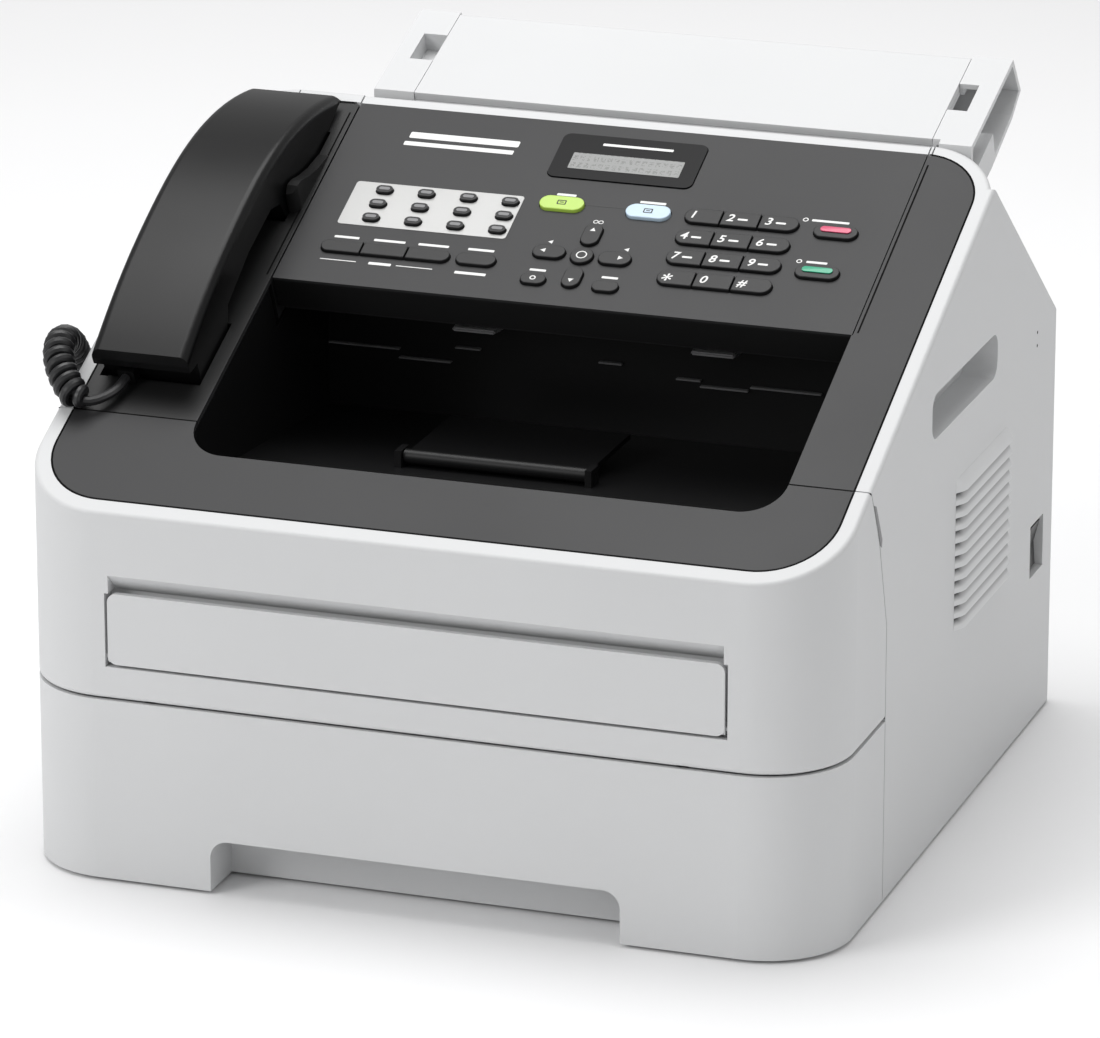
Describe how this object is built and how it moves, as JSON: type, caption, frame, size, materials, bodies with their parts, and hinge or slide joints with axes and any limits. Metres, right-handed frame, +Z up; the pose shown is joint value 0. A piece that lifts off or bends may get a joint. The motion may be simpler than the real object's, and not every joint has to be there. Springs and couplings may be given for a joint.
{
  "type": "fax machine",
  "caption": "Desktop laser fax machine with a side handset, sloping key panel, folding document support, output bin and front paper tray.",
  "frame": {"origin": "centre of the footprint at the floor, between the feet", "axes": "+X to the user's right along the width, -Y towards the user, +Z up"},
  "size_m": [0.3926, 0.36, 0.311],
  "materials": {
    "casing_white": "fine moulded texture",
    "deck_grey": "satin moulded",
    "bin_black": "satin moulded",
    "handset_black": "semi-gloss",
    "cord_black": "smooth jacket",
    "plug_clear": "smooth",
    "key_black": "satin",
    "key_lime": "satin",
    "key_blue": "satin",
    "key_red": "satin",
    "key_green": "satin",
    "lcd_glass": "glossy window",
    "frame_steel": "zinc plated",
    "unit_black": "moulded",
    "board_green": "solder mask",
    "rubber_black": "matt"
  },
  "bodies": {
    "root": {"chassis": "frame_steel", "left_cover": "casing_white", "right_cover": "casing_white", "top_cover": "deck_grey", "output_bin": "bin_black", "rear_panel": "casing_white", "rear_sockets": "bin_black", "document_tray": "casing_white", "drum_unit": "unit_black", "toner_cartridge": "unit_black", "fuser_unit": "unit_black", "laser_unit": "frame_steel", "circuit_boards": "board_green", "rubber_feet": "rubber_black", "handset_cord": "cord_black", "base_plug": "plug_clear"},
    "front_cover": {"front_cover": "casing_white", "front_trim": "deck_grey"},
    "manual_feed_cover": {"manual_feed_cover": "casing_white"},
    "paper_tray": {"paper_tray": "casing_white"},
    "lift_plate": {"lift_plate": "frame_steel"},
    "control_panel": {"control_panel": "deck_grey", "display": "lcd_glass"},
    "document_support": {"document_support": "casing_white"},
    "output_flap": {"output_flap": "bin_black"},
    "handset": {"handset_back": "handset_black", "handset_face": "handset_black", "handset_plug": "plug_clear"},
    "hook_switch": {"hook_switch": "bin_black"},
    "rear_cover": {"rear_cover": "casing_white"},
    "power_switch": {"power_switch": "bin_black"},
    "pickup_roller": {"pickup_roller": "rubber_black"},
    "key_1": {"key_1": "key_black"},
    "key_2": {"key_2": "key_black"},
    "key_3": {"key_3": "key_black"},
    "key_4": {"key_4": "key_black"},
    "key_5": {"key_5": "key_black"},
    "key_6": {"key_6": "key_black"},
    "key_7": {"key_7": "key_black"},
    "key_8": {"key_8": "key_black"},
    "key_9": {"key_9": "key_black"},
    "key_star": {"key_star": "key_black"},
    "key_0": {"key_0": "key_black"},
    "key_hash": {"key_hash": "key_black"},
    "key_stop": {"key_stop": "key_red"},
    "key_start": {"key_start": "key_green"},
    "key_up": {"key_up": "key_black"},
    "key_down": {"key_down": "key_black"},
    "key_left": {"key_left": "key_black"},
    "key_right": {"key_right": "key_black"},
    "key_ok": {"key_ok": "key_black"},
    "key_fax": {"key_fax": "key_lime"},
    "key_copy": {"key_copy": "key_blue"},
    "key_clear": {"key_clear": "key_black"},
    "key_menu": {"key_menu": "key_black"},
    "key_hook": {"key_hook": "key_black"},
    "key_redial": {"key_redial": "key_black"},
    "key_resolution": {"key_resolution": "key_black"},
    "key_options": {"key_options": "key_black"},
    "one_touch_keys": {"one_touch_keys": "key_black"}
  },
  "joints": [
    {"name": "front_cover_hinge", "type": "hinge", "parent": "root", "child": "front_cover", "pos_m": [0, -0.177, 0.0874], "axis": [1, 0, 0], "range_deg": [0, 85]},
    {"name": "paper_tray_slide", "type": "slide", "parent": "root", "child": "paper_tray", "axis": [0, -1, 0], "range_m": [0, 0.25]},
    {"name": "control_panel_hinge", "type": "hinge", "parent": "root", "child": "control_panel", "pos_m": [0, 0.08202, 0.28154], "axis": [-1, 0, 0], "range_deg": [0, 50]},
    {"name": "handset_lift", "type": "slide", "parent": "root", "child": "handset", "axis": [0, -0.4067, 0.9135], "range_m": [0, 0.06]},
    {"name": "document_support_hinge", "type": "hinge", "parent": "root", "child": "document_support", "pos_m": [0, 0.15296, 0.30839], "axis": [-1, 0, 0], "range_deg": [0, 150]},
    {"name": "manual_feed_hinge", "type": "hinge", "parent": "front_cover", "child": "manual_feed_cover", "pos_m": [0, -0.177, 0.1033], "axis": [1, 0, 0], "range_deg": [0, 85]},
    {"name": "output_flap_hinge", "type": "hinge", "parent": "root", "child": "output_flap", "pos_m": [-0.0055, -0.057, 0.1662], "axis": [1, 0, 0], "range_deg": [0, 150]},
    {"name": "rear_cover_hinge", "type": "hinge", "parent": "root", "child": "rear_cover", "pos_m": [0, 0.177, 0.075], "axis": [-1, 0, 0], "range_deg": [0, 80]},
    {"name": "lift_plate_hinge", "type": "hinge", "parent": "paper_tray", "child": "lift_plate", "pos_m": [0, 0.045, 0.011], "axis": [-1, 0, 0], "range_deg": [0, 12]},
    {"name": "pickup_roller_spin", "type": "hinge", "parent": "root", "child": "pickup_roller", "pos_m": [0, -0.105, 0.072], "axis": [1, 0, 0], "continuous": true},
    {"name": "power_switch_rock", "type": "hinge", "parent": "root", "child": "power_switch", "pos_m": [0.178, 0.147, 0.085], "axis": [0, -1, 0], "range_deg": [0, 12]},
    {"name": "hook_switch_slide", "type": "slide", "parent": "root", "child": "hook_switch", "axis": [0, -0.4067, 0.9135], "range_m": [0, 0.003]},
    {"name": "key_1_press", "type": "slide", "parent": "control_panel", "child": "key_1", "axis": [0, 0.4067, -0.9135], "range_m": [0, 0.0012], "stiffness_N_per_m": 300},
    {"name": "key_2_press", "type": "slide", "parent": "control_panel", "child": "key_2", "axis": [0, 0.4067, -0.9135], "range_m": [0, 0.0012], "stiffness_N_per_m": 300},
    {"name": "key_3_press", "type": "slide", "parent": "control_panel", "child": "key_3", "axis": [0, 0.4067, -0.9135], "range_m": [0, 0.0012], "stiffness_N_per_m": 300},
    {"name": "key_4_press", "type": "slide", "parent": "control_panel", "child": "key_4", "axis": [0, 0.4067, -0.9135], "range_m": [0, 0.0012], "stiffness_N_per_m": 300},
    {"name": "key_5_press", "type": "slide", "parent": "control_panel", "child": "key_5", "axis": [0, 0.4067, -0.9135], "range_m": [0, 0.0012], "stiffness_N_per_m": 300},
    {"name": "key_6_press", "type": "slide", "parent": "control_panel", "child": "key_6", "axis": [0, 0.4067, -0.9135], "range_m": [0, 0.0012], "stiffness_N_per_m": 300},
    {"name": "key_7_press", "type": "slide", "parent": "control_panel", "child": "key_7", "axis": [0, 0.4067, -0.9135], "range_m": [0, 0.0012], "stiffness_N_per_m": 300},
    {"name": "key_8_press", "type": "slide", "parent": "control_panel", "child": "key_8", "axis": [0, 0.4067, -0.9135], "range_m": [0, 0.0012], "stiffness_N_per_m": 300},
    {"name": "key_9_press", "type": "slide", "parent": "control_panel", "child": "key_9", "axis": [0, 0.4067, -0.9135], "range_m": [0, 0.0012], "stiffness_N_per_m": 300},
    {"name": "key_star_press", "type": "slide", "parent": "control_panel", "child": "key_star", "axis": [0, 0.4067, -0.9135], "range_m": [0, 0.0012], "stiffness_N_per_m": 300},
    {"name": "key_0_press", "type": "slide", "parent": "control_panel", "child": "key_0", "axis": [0, 0.4067, -0.9135], "range_m": [0, 0.0012], "stiffness_N_per_m": 300},
    {"name": "key_hash_press", "type": "slide", "parent": "control_panel", "child": "key_hash", "axis": [0, 0.4067, -0.9135], "range_m": [0, 0.0012], "stiffness_N_per_m": 300},
    {"name": "key_stop_press", "type": "slide", "parent": "control_panel", "child": "key_stop", "axis": [0, 0.4067, -0.9135], "range_m": [0, 0.0012], "stiffness_N_per_m": 300},
    {"name": "key_start_press", "type": "slide", "parent": "control_panel", "child": "key_start", "axis": [0, 0.4067, -0.9135], "range_m": [0, 0.0012], "stiffness_N_per_m": 300},
    {"name": "key_up_press", "type": "slide", "parent": "control_panel", "child": "key_up", "axis": [0, 0.4067, -0.9135], "range_m": [0, 0.0012], "stiffness_N_per_m": 300},
    {"name": "key_down_press", "type": "slide", "parent": "control_panel", "child": "key_down", "axis": [0, 0.4067, -0.9135], "range_m": [0, 0.0012], "stiffness_N_per_m": 300},
    {"name": "key_left_press", "type": "slide", "parent": "control_panel", "child": "key_left", "axis": [0, 0.4067, -0.9135], "range_m": [0, 0.0012], "stiffness_N_per_m": 300},
    {"name": "key_right_press", "type": "slide", "parent": "control_panel", "child": "key_right", "axis": [0, 0.4067, -0.9135], "range_m": [0, 0.0012], "stiffness_N_per_m": 300},
    {"name": "key_ok_press", "type": "slide", "parent": "control_panel", "child": "key_ok", "axis": [0, 0.4067, -0.9135], "range_m": [0, 0.0012], "stiffness_N_per_m": 300},
    {"name": "key_fax_press", "type": "slide", "parent": "control_panel", "child": "key_fax", "axis": [0, 0.4067, -0.9135], "range_m": [0, 0.0012], "stiffness_N_per_m": 300},
    {"name": "key_copy_press", "type": "slide", "parent": "control_panel", "child": "key_copy", "axis": [0, 0.4067, -0.9135], "range_m": [0, 0.0012], "stiffness_N_per_m": 300},
    {"name": "key_clear_press", "type": "slide", "parent": "control_panel", "child": "key_clear", "axis": [0, 0.4067, -0.9135], "range_m": [0, 0.0012], "stiffness_N_per_m": 300},
    {"name": "key_menu_press", "type": "slide", "parent": "control_panel", "child": "key_menu", "axis": [0, 0.4067, -0.9135], "range_m": [0, 0.0012], "stiffness_N_per_m": 300},
    {"name": "key_hook_press", "type": "slide", "parent": "control_panel", "child": "key_hook", "axis": [0, 0.4067, -0.9135], "range_m": [0, 0.0012], "stiffness_N_per_m": 300},
    {"name": "key_redial_press", "type": "slide", "parent": "control_panel", "child": "key_redial", "axis": [0, 0.4067, -0.9135], "range_m": [0, 0.0012], "stiffness_N_per_m": 300},
    {"name": "key_resolution_press", "type": "slide", "parent": "control_panel", "child": "key_resolution", "axis": [0, 0.4067, -0.9135], "range_m": [0, 0.0012], "stiffness_N_per_m": 300},
    {"name": "key_options_press", "type": "slide", "parent": "control_panel", "child": "key_options", "axis": [0, 0.4067, -0.9135], "range_m": [0, 0.0012], "stiffness_N_per_m": 300},
    {"name": "one_touch_keys_press", "type": "slide", "parent": "control_panel", "child": "one_touch_keys", "axis": [0, 0.4067, -0.9135], "range_m": [0, 0.0012], "stiffness_N_per_m": 900}
  ],
  "couplings": [
    {"joint": "hook_switch_slide", "follows": "handset_lift", "ratio": 0.05}
  ]
}
